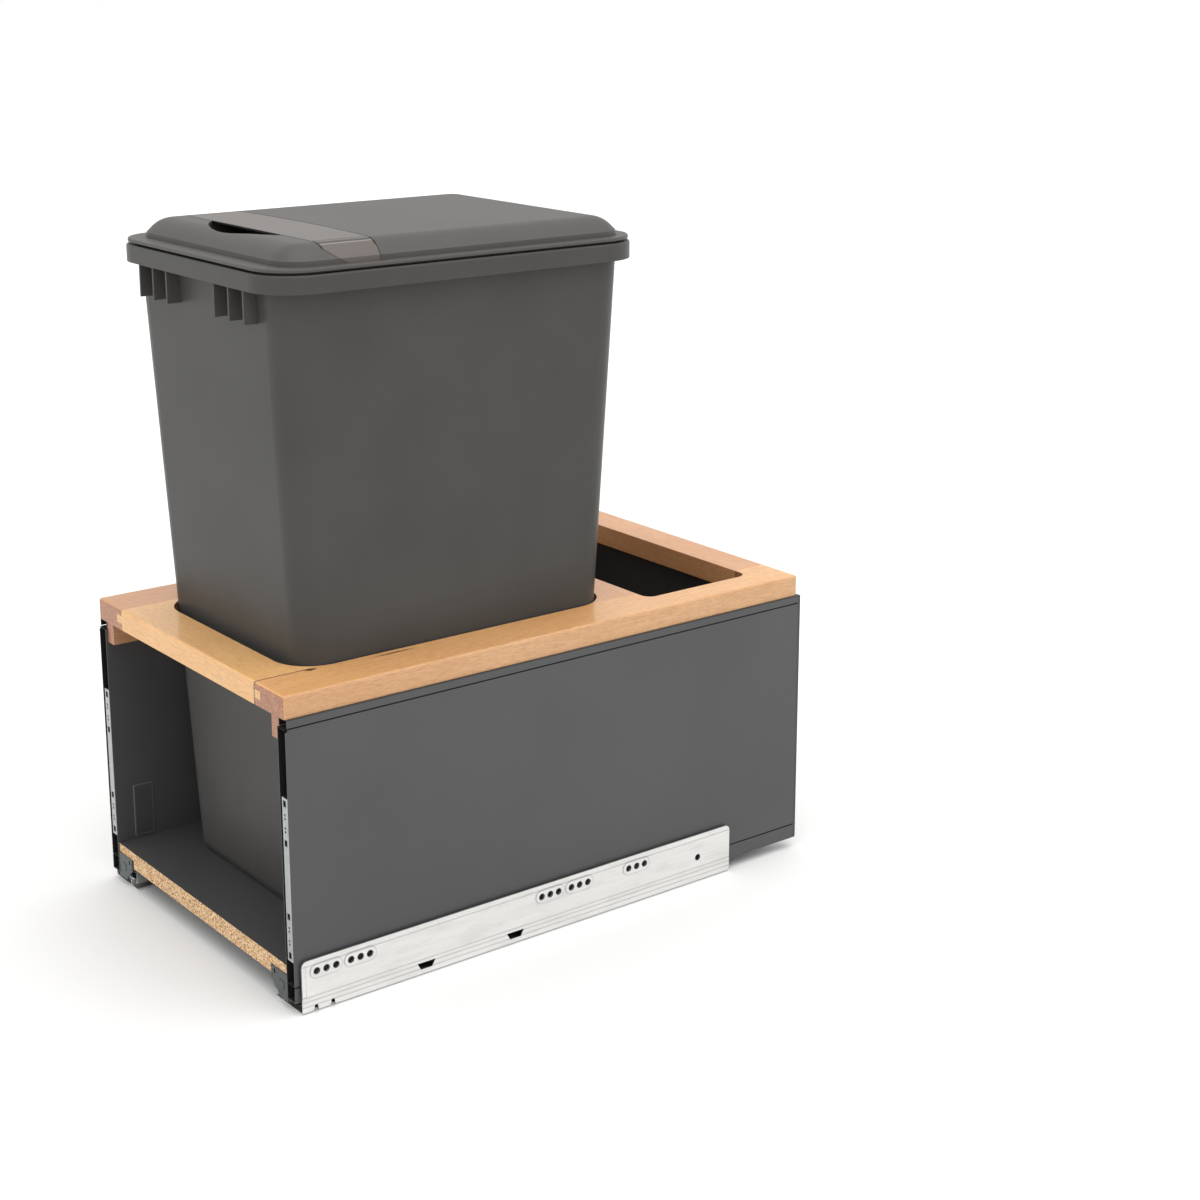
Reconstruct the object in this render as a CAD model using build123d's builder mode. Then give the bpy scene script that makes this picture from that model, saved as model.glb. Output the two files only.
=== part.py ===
from build123d import *
import os

# Pull-out waste unit for a kitchen base cabinet: a steel-sided drawer on undermount
# runners, a solid maple top frame with a cut-out for one tall bin, and the bin's lid.
# Millimetres. +X is to the right seen from the front, +Y towards the back, +Z up.
# X = 0 is the middle of the cabinet, Z = 0 the underside of the cabinet profiles and
# Y = 0 half way along the drawer. The right-hand piece of each pair is drawn and the
# left-hand one is its mirror image.

# ---- cabinet and drawer sides
cabinet_width = 343.0  # clear width between the cabinet walls
side_gap = 4.7  # air between a cabinet wall and a drawer side
side_thickness = 12.8
side_height = 241.0
side_length = 544.0
side_rise = 10.3  # drawer side above the cabinet profile's underside
skin = 0.9  # sheet of the drawer sides
cap_height = 8.0  # top cap of a side, seen above the seam
rail_height = 14.0  # bottom rail of a side, seen below the seam
seam = 0.8  # open joint line between two sheets
locating_rib = 1.2  # ribs inside cap and rail that hold them on the skins
rib_setback = 22.0
cap_setback = 1.5  # the cap starts this far behind the side's front end
corner_relief = 4.0  # notch in the outer skin's upper front corner
end_cap = 3.0  # closing strip at the rear of a side
hook_out = 3.0  # how far the rear hook stands out behind it
hook_height = 10.0

# ---- bottom board and back panel
board_thickness = 16.0
board_top_rise = 28.0  # board top above the drawer side's lower edge
board_setback = 1.3
tongue_thickness = 8.0  # what the rebate leaves at both sides of the board
runner_bay = 28.0  # width of that rebate, which the runner fills
panel_thickness = 16.0
panel_rear_gap = 9.0  # from the panel's rear face to the side's rear end

# ---- maple top frame
wood = 19.0
wood_inset = 1.5  # rails stand in from the steel's outer face
wood_rear_inset = 3.0
rail_width = 46.3  # from a rail's outer face to its joint with the cross boards
hole_side_clearance = 2.2  # round the bin where it passes the frame's top face
hole_front_clearance = 8.4
hole_rear_clearance = 8.8
hole_corner = 36.0
middle_board_width = 27.0
rear_board_width = 36.0
opening_rail_width = 29.3  # rail beside the rear opening
opening_corner = 10.0
joint_tongue = 9.5
joint_thickness = 7.0
edge_round = 2.5
cleat_width = 12.0
cleat_height = 20.0
cleat_setback = 2.0

# ---- bin and lid
bin_height = 552.5
bin_centre = 200.3  # from the drawer's front end
bin_wall = 2.5
bin_bottom_width = 220.0
bin_bottom_depth = 280.5
bin_bottom_corner = 19.0
bin_bottom_forward = 3.0  # middle of the foot in front of the middle of the rim
bin_top_width = 257.0
bin_top_depth = 339.6
bin_top_corner = 27.0
bin_foot_inset = 5.5  # rounding of the foot
bin_foot_height = 8.0
rim_out = 11.5  # rim beyond the body, all round
rim_height = 14.7
rim_sheet = 2.4
rim_round = 1.3
fin_count = 3
fin_pitch = 24.0
fin_centre = 65.0  # middle of a fin group from the bin's middle
fin_thickness = 2.2
fin_drop = 27.0  # below the rim's lower edge
fin_inset = 1.0  # fins stand in from the rim's outer face
fin_root = 6.0  # and reach this far past the body's face, to be cut by its hollow
lid_reveal = 2.2  # shadow gap between lid flange and rim
lid_inset = 1.5
lid_flange = 2.6
lid_ledge = 10.0  # flat flange beside and behind the dome
lid_front_ledge = 15.6
lid_dome = 15.9
lid_foot = 4.0  # low upright part of the dome, below its slope
lid_draft = 8.0  # degrees
lid_slope = 45.0  # degrees
lid_round = 26.0  # where the slope turns over into the crown
lid_wall = 2.6
lid_root = 5.0  # thicker wall at the foot of the dome
lip_depth = 7.0
lip_wall = 1.8
lip_clearance = 1.2
seat_rib = 2.5
seat_inset = 7.0  # the rib that the lid rests on stands in from the flange's edge
band_start = 54.0  # handle band's front edge behind the lid's front edge
band_width = 47.0
band_bulge = 8.0  # how far its rear edge curves back in the middle
band_foot_sweep = 18.0  # front edge runs back this far on its way down the side
band_thickness = 1.5
band_gap = 0.6
band_crease = 24.5  # crease across the band, from the dome's side
crease_depth = 0.9
crease_width = 1.4
scoop_half = 60.0  # finger scoop half width along the band's edge
scoop_reach = 24.0  # how far the scoop comes forward of the band
scoop_under = 31.0  # and back under it
scoop_depth = 12.0

# ---- runners, one each side
sheet = 1.3
profile_front = 4.5
profile_length = 453.0
profile_height = 46.3
profile_corner = 5.0
boss = 0.45  # height of the pressed pads on the outer face
pad_margin = 3.5
pad_bottom = 13.0
pad_corner = 2.0
hole_line = 36.0  # screw holes above the profile's underside
hole_first = 26.9  # middle of the first group from the drawer's front end
hole_radius = 3.1
hole_step = 9.0
group_size = 3
system_pitch = 32.0
group_columns = (0, 1, 7, 8, 10)  # which 32 mm columns carry a group of holes
rear_hole_column = 12.25
rear_hole_drop = 11.4
slot_columns = (3.0, 5.85)
slot_width = 18.0
slot_height = 6.0
slot_line = 8.6
notch_width = 2.6
notch_height = 6.5
notches = (12.5, 28.0)  # notches in the bottom bend, from the profile's front end
notch_flare = 2.2  # they open to this many times their width at the edge
drain_radius = 1.6
drain_setback = 6.0
drain_spread = 4.0
runner_side_gap = 14.5  # runner's centre line from the side's inner face
track_width = 11.0
track_rise = 9.3
roller_gap = 5.2
roller_play = 0.2
middle_width = 18.0
middle_skirt = 10.8
middle_lip = 3.2
neck_height = 5.2
neck_width = 2.6
drawer_profile_width = 24.0
drawer_profile_skirt = 13.3
drawer_lip = 7.5
runner_member = 440.0  # length of the middle and drawer members
member_front = 6.0
carriage_length = 160.0
carriage_front = 150.0
roller_count = 6
cage_thickness = 1.4
cage_width = 13.5
damper_length = 96.0
damper_width = 13.0
damper_height = 7.4
damper_rod = 10.0
damper_rear_gap = 12.0

# ---- small fittings of the drawer
bracket_sheet = 1.5
bracket_front = 0.4
bracket_height = 23.3
bracket_gap = 1.5  # from the board's rebate
bracket_step = 4.3  # size of the steps in its lower corner
bracket_slot = 4.5
edge_slots = 3
bracket_leg = 26.0
emboss = 7.5
coupling_length = 46.0
coupling_front = 28.0
coupling_width = 13.0
coupling_height = 10.0
coupling_gap = 0.5
coupling_slot = 20.0
coupling_round = 2.0
strip_sheet = 1.2
strip_width = 8.6
strip_length = 140.0
strip_rise = 35.0  # strip's lower end above the side's lower edge
strip_front = 0.4
strip_leg = 8.0
strip_slot = 5.5  # its large slots, near both ends
end_inset = 5.0
slot_spread = 33.5
strip_hole = 1.1
strip_hole_pitch = 3.2
cover_sheet = 0.8
cover_width = 19.5
cover_height = 49.5
cover_front = 17.5
cover_rise = 30.5
rear_bracket_sheet = 1.5
rear_bracket_height = 150.0
rear_bracket_width = 34.0
rear_bracket_rise = 62.0
screw_radius = 2.0
screw_clearance = 0.15  # holes are this much wider and deeper than the screws
screw_head = 3.8
head_height = 1.9
panel_screw_length = 13.0
cleat_screw_length = 32.0
cleat_screw_count = 4
cleat_screw_pitch = 140.0
panel_screw_places = (0.2, 0.8)  # shares of the rear bracket's height

# ---- places worked out from the above
overall_depth = side_length + hook_out
front = -overall_depth / 2
side_outer = cabinet_width / 2 - side_gap
side_inner = side_outer - side_thickness
side_mid = side_outer - side_thickness / 2
side_bottom = side_rise
side_top = side_bottom + side_height
side_rear = front + side_length
skin_bottom = side_bottom + rail_height
skin_top = side_top - cap_height
board_top = side_bottom + board_top_rise
tongue_bottom = board_top - tongue_thickness
board_bottom = board_top - board_thickness
rebate_edge = side_inner - runner_bay
panel_rear = side_rear - panel_rear_gap
runner_mid = side_inner - runner_side_gap
wood_outer = side_outer - wood_inset
seam_half = wood_outer - rail_width
frame_rear = side_length - wood_rear_inset
cleat_inner = side_inner - cleat_width
bin_y = front + bin_centre
# the bin's size and middle where it passes the frame's top face
share = (side_top + wood - board_top) / bin_height
passing_width = bin_bottom_width + share * (bin_top_width - bin_bottom_width)
passing_depth = bin_bottom_depth + share * (bin_top_depth - bin_bottom_depth)
passing_centre = bin_centre - (1 - share) * bin_bottom_forward
hole_half_width = passing_width / 2 + hole_side_clearance
hole_front = passing_centre - passing_depth / 2 - hole_front_clearance
hole_rear = passing_centre + passing_depth / 2 + hole_rear_clearance
opening_half_width = wood_outer - opening_rail_width
opening_front = hole_rear + middle_board_width
opening_rear = frame_rear - rear_board_width
rim_top = board_top + bin_height
rim_bottom = rim_top - rim_height
rim_width = bin_top_width + 2 * rim_out
rim_depth = bin_top_depth + 2 * rim_out
rim_corner = bin_top_corner + rim_out
flange_bottom = rim_top + lid_reveal
flange_top = flange_bottom + lid_flange
flange_width = rim_width - 2 * lid_inset
flange_depth = rim_depth - 2 * lid_inset
flange_corner = rim_corner - lid_inset
flange_front = bin_y - flange_depth / 2
dome_side = flange_width / 2 - lid_ledge
dome_top = flange_top + lid_dome
band_front = flange_front + band_start
band_rear = band_front + band_width
scoop_front = band_front - scoop_reach
scoop_rear = band_front + scoop_under
web_outer = cabinet_width / 2
track_top = track_rise
middle_bottom_of_top = track_top + roller_gap
middle_top = middle_bottom_of_top + sheet
upper_track = middle_top + neck_height + sheet
drawer_profile_top = tongue_bottom
upper_gap = drawer_profile_top - sheet - upper_track
profile_rear = front + profile_front + profile_length

os.makedirs("parts", exist_ok=True)


def save(piece, name):
    """write one finished piece"""
    piece.part.label = name
    export_step(piece.part, f"parts/{name}.step")


def save_pair(piece, name):
    """write the right-hand piece and its mirror image"""
    with BuildPart() as twin:
        mirror(piece.part, about=Plane.YZ)
    save(piece, f"{name}_right")
    save(twin, f"{name}_left")


def across(rear):
    """upright plane across the drawer at y = rear: an extrusion from it runs forwards"""
    return Plane.XZ.offset(-rear)


def strut(x0, x1, z0, z1):
    """rectangle of a cross section, by its corners"""
    with Locations(((x0 + x1) / 2, (z0 + z1) / 2)):
        Rectangle(x1 - x0, z1 - z0)


def plan(x0, x1, y0, y1):
    """rectangle seen from above, with y counted from the drawer's front end"""
    with Locations(((x0 + x1) / 2, front + (y0 + y1) / 2)):
        Rectangle(x1 - x0, y1 - y0)


# ================================================================ cabinet runners
def hole_places():
    """y of every screw hole on the hole line, from the drawer's front end"""
    middle = (group_size - 1) / 2
    for column in group_columns:
        for k in range(group_size):
            yield hole_first + column * system_pitch + (k - middle) * hole_step


# A roll-formed profile: an upright web against the cabinet wall, a floor that passes
# under the drawer side, and a T-shaped track on it for the rollers.
web_face = web_outer - 2 * boss
floor_inner = runner_mid - drawer_profile_width / 2
with BuildPart() as cabinet_profile:
    with BuildSketch(across(profile_rear)):
        with BuildLine():
            FilletPolyline(
                (floor_inner, sheet / 2),
                (web_face - sheet / 2, sheet / 2),
                (web_face - sheet / 2, profile_height),
                radius=2 * sheet,
            )
        trace(line_width=sheet)
        strut(runner_mid - sheet / 2, runner_mid + sheet / 2, sheet, track_top)
        strut(runner_mid - track_width / 2, runner_mid + track_width / 2, track_top - sheet, track_top)
    extrude(amount=profile_length)
    # raised panel on the web, as pressed to stiffen it
    with BuildSketch(Plane.YZ.offset(web_face)):
        pad_height = profile_height - pad_margin - pad_bottom
        with Locations(((front + profile_front + profile_rear) / 2, pad_bottom + pad_height / 2)):
            RectangleRounded(profile_length - 2 * pad_margin, pad_height, pad_corner)
    extrude(amount=boss)
    # a capsule boss round each group of holes
    with BuildSketch(Plane.YZ.offset(web_face + boss)):
        for column in group_columns:
            with Locations((front + hole_first + column * system_pitch, hole_line)):
                SlotCenterToCenter((group_size - 1) * hole_step, 4 * hole_radius)
    extrude(amount=boss)
    with BuildSketch(Plane.YZ.offset(web_outer)):
        for y in hole_places():
            with Locations((front + y, hole_line)):
                Circle(hole_radius)
        with Locations((front + hole_first + rear_hole_column * system_pitch, hole_line - rear_hole_drop)):
            Circle(hole_radius)
        for column in slot_columns:
            with Locations((front + hole_first + column * system_pitch, slot_line)):
                Trapezoid(slot_width, slot_height, 60, rotation=180)
        for y in notches:
            at = front + profile_front + y
            with BuildLine():
                Polyline(
                    (at - notch_width * notch_flare / 2, 0),
                    (at - notch_width / 2, notch_height),
                    (at + notch_width / 2, notch_height),
                    (at + notch_width * notch_flare / 2, 0),
                    close=True,
                )
            make_face()
    extrude(amount=-4 * sheet, mode=Mode.SUBTRACT)
    # two drain holes in the floor at the front
    with BuildSketch(Plane.XY):
        for sign in (-1, 1):
            with Locations((side_mid + sign * drain_spread, front + profile_front + drain_setback)):
                Circle(drain_radius)
    extrude(amount=sheet, mode=Mode.SUBTRACT)
    web_corners = cabinet_profile.edges().filter_by(Axis.X).group_by(Axis.Z)[-1]
    fillet(web_corners, profile_corner)
save_pair(cabinet_profile, "cabinet_profile")

# sealed damper that catches the drawer over the last stretch of its travel
damper_rear = profile_rear - damper_rear_gap
damper_x = side_mid
with BuildPart() as damper:
    with BuildSketch(across(damper_rear)):
        with Locations((damper_x, sheet + damper_height / 2)):
            RectangleRounded(damper_width, damper_height, 1.5)
    extrude(amount=damper_length)
    with BuildSketch(across(damper_rear - damper_length)):
        with Locations((damper_x, sheet + damper_height / 2)):
            Circle(damper_height / 3)
    extrude(amount=damper_rod)
save_pair(damper, "soft_close_damper")

# middle member: a channel over the fixed track with a second track on its back
with BuildPart() as middle_profile:
    with BuildSketch(across(front + member_front + runner_member)):
        half = middle_width / 2
        skirt_bottom = middle_top - middle_skirt
        strut(runner_mid - half, runner_mid + half, middle_bottom_of_top, middle_top)
        for sign in (-1, 1):
            wall = runner_mid + sign * (half - sheet / 2)
            strut(wall - sheet / 2, wall + sheet / 2, skirt_bottom, middle_top)
            lip = runner_mid + sign * (half - middle_lip / 2)
            strut(lip - middle_lip / 2, lip + middle_lip / 2, skirt_bottom, skirt_bottom + sheet)
        strut(runner_mid - neck_width / 2, runner_mid + neck_width / 2, middle_top, upper_track)
        strut(runner_mid - track_width / 2, runner_mid + track_width / 2, upper_track - sheet, upper_track)
    extrude(amount=runner_member)
save_pair(middle_profile, "middle_profile")

# drawer member, hooked under the tongue of the bottom board
with BuildPart() as drawer_profile:
    with BuildSketch(across(front + member_front + runner_member)):
        half = drawer_profile_width / 2
        skirt_bottom = drawer_profile_top - drawer_profile_skirt
        strut(runner_mid - half, runner_mid + half, drawer_profile_top - sheet, drawer_profile_top)
        for sign in (-1, 1):
            wall = runner_mid + sign * (half - sheet / 2)
            strut(wall - sheet / 2, wall + sheet / 2, skirt_bottom, drawer_profile_top)
            lip = runner_mid + sign * (half - drawer_lip / 2)
            strut(lip - drawer_lip / 2, lip + drawer_lip / 2, skirt_bottom, skirt_bottom + sheet)
    extrude(amount=runner_member)
save_pair(drawer_profile, "drawer_profile")


def roller_rows():
    """y of each roller in a carriage, from the drawer's front end"""
    pitch = carriage_length / roller_count
    for k in range(roller_count):
        yield carriage_front + (k + 0.5) * pitch


def make_carriage(level, gap, name):
    """a plastic cage with its steel rollers between two members of the runner"""
    radius = (gap - roller_play) / 2
    centre = level + gap / 2
    with BuildPart() as cage:
        with BuildSketch(Plane.XY.offset(centre - cage_thickness / 2)):
            plan(
                runner_mid - cage_width / 2,
                runner_mid + cage_width / 2,
                carriage_front,
                carriage_front + carriage_length,
            )
            for y in roller_rows():
                with Locations((runner_mid, front + y)):
                    Rectangle(track_width - 1.2, 2 * radius + 0.5, mode=Mode.SUBTRACT)
        extrude(amount=cage_thickness)
    save_pair(cage, f"{name}_cage")
    with BuildPart() as rollers:
        for y in roller_rows():
            with Locations((runner_mid, front + y, centre)):
                Cylinder(radius, track_width - 1.6, rotation=(0, 90, 0))
    save_pair(rollers, f"{name}_rollers")


make_carriage(track_top, roller_gap, "lower")
make_carriage(upper_track, upper_gap, "upper")

# ================================================================== drawer sides
inside = side_thickness - 2 * skin
with BuildPart() as side_outer_skin:
    with BuildSketch(across(side_rear - end_cap)):
        strut(side_outer - skin, side_outer, skin_bottom, skin_top)
        strut(side_mid, side_outer, skin_top - skin, skin_top)
        strut(side_mid, side_outer, skin_bottom, skin_bottom + skin)
    extrude(amount=side_length - end_cap)
    # corner relief at the top of the front end
    with BuildSketch(Plane.YZ.offset(side_outer)):
        with Locations((front, skin_top)):
            Rectangle(corner_relief, corner_relief)
    extrude(amount=-1.5 * skin, mode=Mode.SUBTRACT)
save_pair(side_outer_skin, "side_outer_skin")

with BuildPart() as side_inner_skin:
    with BuildSketch(across(side_rear - end_cap)):
        strut(side_inner, side_inner + skin, skin_bottom, skin_top)
        strut(side_inner, side_mid, skin_top - skin, skin_top)
        strut(side_inner, side_mid, skin_bottom, skin_bottom + skin)
    extrude(amount=side_length - end_cap)
save_pair(side_inner_skin, "side_inner_skin")

with BuildPart() as side_top_cap:
    with BuildSketch(across(side_rear - end_cap)):
        strut(side_inner, side_outer, side_top - skin, side_top)
        for wall in (side_inner, side_outer - skin):
            strut(wall, wall + skin, skin_top + seam, side_top)
    extrude(amount=side_length - end_cap - cap_setback)
    with BuildSketch(across(side_rear - end_cap)):
        for rib in (side_mid - inside / 4, side_mid + inside / 4):
            strut(rib - locating_rib / 2, rib + locating_rib / 2, skin_top, side_top)
    extrude(amount=side_length - end_cap - rib_setback)
save_pair(side_top_cap, "side_top_cap")

with BuildPart() as side_bottom_rail:
    with BuildSketch(across(side_rear - end_cap)):
        strut(side_inner, side_outer, side_bottom, side_bottom + skin)
        for wall in (side_inner, side_outer - skin):
            strut(wall, wall + skin, side_bottom, skin_bottom - seam)
    extrude(amount=side_length - end_cap)
    with BuildSketch(across(side_rear - end_cap)):
        for rib in (side_mid - inside / 4, side_mid + inside / 4):
            strut(rib - locating_rib / 2, rib + locating_rib / 2, side_bottom, skin_bottom)
    extrude(amount=side_length - end_cap - rib_setback)
save_pair(side_bottom_rail, "side_bottom_rail")

# closing strip at the rear end, with the small hook that takes the tilt of the drawer
with BuildPart() as side_end_cap:
    with BuildSketch(across(side_rear)):
        strut(side_inner, side_outer, side_bottom, side_top)
    extrude(amount=end_cap)
    fillet(side_end_cap.edges().filter_by(Axis.X).group_by(Axis.Y)[-1], 1.2)
    with BuildSketch(Plane.XY.offset(side_bottom + hook_height / 2)):
        with Locations((side_mid, side_rear + hook_out / 2)):
            Rectangle(side_thickness / 2, hook_out)
    extrude(amount=hook_height)
    fillet(side_end_cap.edges().filter_by(Axis.X).group_by(Axis.Y)[-1], hook_out / 2)
save_pair(side_end_cap, "side_end_cap")

# perforated fixing strip for a door front, a hat section inside the side's open end
strip_bottom = side_bottom + strip_rise
strip_top = strip_bottom + strip_length
strip_y = front + strip_front
with BuildPart() as fixing_strip:
    with BuildSketch(Plane.XY.offset(strip_bottom)):
        half = strip_width / 2
        with BuildLine():
            FilletPolyline(
                (side_inner + skin, strip_y + strip_leg),
                (side_mid - half, strip_y + strip_leg),
                (side_mid - half, strip_y + strip_sheet / 2),
                (side_mid + half, strip_y + strip_sheet / 2),
                (side_mid + half, strip_y + strip_leg),
                (side_outer - skin, strip_y + strip_leg),
                radius=strip_sheet / 1.5,
            )
        trace(line_width=strip_sheet)
    extrude(amount=strip_length)
    # at both ends two large slots with two pairs of small holes between them
    with BuildSketch(Plane.XZ.offset(-strip_y - 2 * strip_sheet)):
        for end, sign in ((strip_bottom, 1), (strip_top, -1)):
            for step in (end_inset, end_inset + slot_spread):
                with Locations((side_mid, end + sign * step)):
                    Rectangle(strip_width / 2, strip_slot)
            for step in (end_inset + slot_spread / 3, end_inset + 2 * slot_spread / 3):
                for offset in (-strip_hole_pitch / 2, strip_hole_pitch / 2):
                    with Locations((side_mid, end + sign * step + offset)):
                        Circle(strip_hole)
    extrude(amount=4 * strip_sheet, mode=Mode.SUBTRACT)
save_pair(fixing_strip, "front_fixing_strip")

# cover over the adjusting screws, on the inner face
cover_bottom = side_bottom + cover_rise
with BuildPart() as access_cover:
    with BuildSketch(Plane.YZ.offset(side_inner - cover_sheet)):
        with Locations((front + cover_front + cover_width / 2, cover_bottom + cover_height / 2)):
            RectangleRounded(cover_width, cover_height, 1.5)
    extrude(amount=cover_sheet)
    chamfer(access_cover.faces().sort_by(Axis.X)[0].edges(), cover_sheet / 2)
save_pair(access_cover, "access_cover")

# ========================================================= bottom board, back panel
with BuildPart() as bottom_board:
    with BuildSketch(across(panel_rear)):
        strut(-side_inner, side_inner, tongue_bottom, board_top)
        strut(-rebate_edge, rebate_edge, board_bottom, board_top)
    extrude(amount=panel_rear - front - board_setback)
save(bottom_board, "bottom_board")

with BuildPart() as back_panel:
    with BuildSketch(across(panel_rear)):
        strut(-side_inner, side_inner, board_top, side_top)
        # the cleats of the top frame pass through the upper corners
        for sign in (-1, 1):
            with Locations((sign * (cleat_inner + side_inner) / 2, side_top - cleat_height / 2)):
                Rectangle(cleat_width, cleat_height, mode=Mode.SUBTRACT)
    extrude(amount=panel_thickness)
    with BuildSketch(Plane.XZ.offset(-panel_rear)):
        for sign in (-1, 1):
            for level in panel_screw_places:
                x = sign * (side_inner - rear_bracket_width / 2)
                z = side_bottom + rear_bracket_rise + level * rear_bracket_height
                with Locations((x, z)):
                    Circle(screw_radius + screw_clearance)
    extrude(amount=panel_screw_length, mode=Mode.SUBTRACT)
save(back_panel, "back_panel")

# angle bracket behind the back panel at each side
bracket_z = side_bottom + rear_bracket_rise
with BuildPart() as rear_bracket:
    with BuildSketch(Plane.XY.offset(bracket_z)):
        with BuildLine():
            FilletPolyline(
                (side_inner - rear_bracket_width, panel_rear + rear_bracket_sheet / 2),
                (side_inner - rear_bracket_sheet / 2, panel_rear + rear_bracket_sheet / 2),
                (side_inner - rear_bracket_sheet / 2, side_rear - end_cap),
                radius=rear_bracket_sheet,
            )
        trace(line_width=rear_bracket_sheet)
    extrude(amount=rear_bracket_height)
    with BuildSketch(Plane.XZ.offset(-panel_rear - 2 * rear_bracket_sheet)):
        for level in panel_screw_places:
            with Locations((side_inner - rear_bracket_width / 2, bracket_z + level * rear_bracket_height)):
                Circle(screw_radius + screw_clearance)
    extrude(amount=3 * rear_bracket_sheet, mode=Mode.SUBTRACT)
save_pair(rear_bracket, "rear_bracket")

with BuildPart() as panel_screws:
    for sign in (-1, 1):
        for level in panel_screw_places:
            x = sign * (side_inner - rear_bracket_width / 2)
            z = bracket_z + level * rear_bracket_height
            head = Plane(origin=(x, panel_rear + rear_bracket_sheet, z), z_dir=(0, 1, 0))
            with BuildSketch(head):
                Circle(screw_head)
            extrude(amount=head_height)
            with BuildSketch(head):
                Circle(screw_radius)
            extrude(amount=-panel_screw_length)
save(panel_screws, "back_panel_screws")

# ============================================================ small drawer fittings
# pressed zinc plate in front of the runner, with a stepped lower corner
plate_left = rebate_edge + bracket_gap
plate_right = side_inner
plate_top = tongue_bottom
plate_bottom = plate_top - bracket_height
plate_y = front + bracket_front
with BuildPart() as front_bracket:
    with BuildSketch(across(plate_y + bracket_sheet)):
        with BuildLine():
            Polyline(
                (plate_left, plate_top),
                (plate_right, plate_top),
                (plate_right, plate_bottom),
                (plate_left + 3 * bracket_step, plate_bottom),
                (plate_left + 2.3 * bracket_step, plate_bottom + bracket_step),
                (plate_left + bracket_step, plate_bottom + 1.4 * bracket_step),
                (plate_left + bracket_step, plate_bottom + 2.2 * bracket_step),
                (plate_left, plate_bottom + 2.7 * bracket_step),
                close=True,
            )
        make_face()
        with Locations((plate_left + 1.3 * bracket_step, plate_top - bracket_step)):
            SlotOverall(bracket_slot, bracket_slot / 2, rotation=90, mode=Mode.SUBTRACT)
        # a row of short slots beside the fold at the free edge
        for k in range(1, edge_slots + 1):
            with Locations((plate_left + bracket_sheet, plate_top - k * bracket_slot)):
                Rectangle(bracket_sheet / 2, bracket_slot / 2, mode=Mode.SUBTRACT)
    extrude(amount=bracket_sheet)
    # embossed rectangle and the leg that runs back along the drawer side
    with BuildSketch(across(plate_y)):
        with Locations(((plate_left + plate_right) / 2 + emboss / 2, plate_top - bracket_height / 2)):
            RectangleRounded(emboss, emboss, 1)
    extrude(amount=bracket_front)
    with BuildSketch(Plane.XY.offset(plate_top)):
        plan(plate_right - bracket_sheet, plate_right, bracket_front, bracket_leg)
    extrude(amount=-bracket_height + 2 * bracket_step)
save_pair(front_bracket, "front_bracket")

# black catch that locks the drawer onto its runner, screwed under the board
coupling_x = rebate_edge - coupling_gap - coupling_width / 2
coupling_y = front + coupling_front + coupling_length / 2
with BuildPart() as front_coupling:
    with BuildSketch(Plane.XY.offset(board_bottom)):
        with Locations((coupling_x, coupling_y)):
            RectangleRounded(coupling_width, coupling_length, 1.5 * coupling_round)
    extrude(amount=-coupling_height)
    chamfer(front_coupling.faces().sort_by(Axis.Z)[0].edges(), coupling_round)
    with BuildSketch(Plane.YZ.offset(coupling_x - coupling_width / 2)):
        with Locations((coupling_y, board_bottom - coupling_height / 2)):
            SlotOverall(coupling_slot, coupling_height / 3)
    extrude(amount=coupling_width / 4, mode=Mode.SUBTRACT)
save_pair(front_coupling, "front_coupling")

# ================================================================= maple top frame
tongue_low = side_top + (wood - joint_thickness) / 2


with BuildSketch(Plane.XY.offset(side_top)) as openings:
    with Locations((0, front + (hole_front + hole_rear) / 2)):
        RectangleRounded(2 * hole_half_width, hole_rear - hole_front, hole_corner)
    with Locations((0, front + (opening_front + opening_rear) / 2)):
        RectangleRounded(2 * opening_half_width, opening_rear - opening_front, opening_corner)

cleat_x = (cleat_inner + side_inner) / 2
cleat_middle = (cleat_setback + side_length - end_cap) / 2
cleat_screw_places = [
    (cleat_x, front + cleat_middle + (k - (cleat_screw_count - 1) / 2) * cleat_screw_pitch)
    for k in range(cleat_screw_count)
]
# where each cross board lies, and where its full-length tongue lies, from the front end
cross_boards = {
    "front_board": (0, hole_front + hole_corner, 0, hole_front),
    "middle_board": (hole_rear - hole_corner, opening_front + opening_corner, hole_rear, opening_front),
    "rear_board": (opening_rear - opening_corner, frame_rear, opening_rear, frame_rear),
}
for name, (start, end, tongue_start, tongue_end) in cross_boards.items():
    with BuildPart() as board:
        with BuildSketch(Plane.XY.offset(side_top)):
            plan(-seam_half, seam_half, start, end)
        extrude(amount=wood)
        extrude(openings.sketch, amount=wood, mode=Mode.SUBTRACT)
        with BuildSketch(Plane.XY.offset(tongue_low)):
            plan(-seam_half - joint_tongue, seam_half + joint_tongue, tongue_start, tongue_end)
        extrude(amount=joint_thickness)
        if name == "front_board":
            fillet(board.edges().filter_by(Axis.X).group_by(Axis.Y)[0].sort_by(Axis.Z)[-1], edge_round)
        if name == "rear_board":
            fillet(board.edges().filter_by(Axis.X).group_by(Axis.Y)[-1].sort_by(Axis.Z)[-1], edge_round)
    save(board, name)

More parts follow.
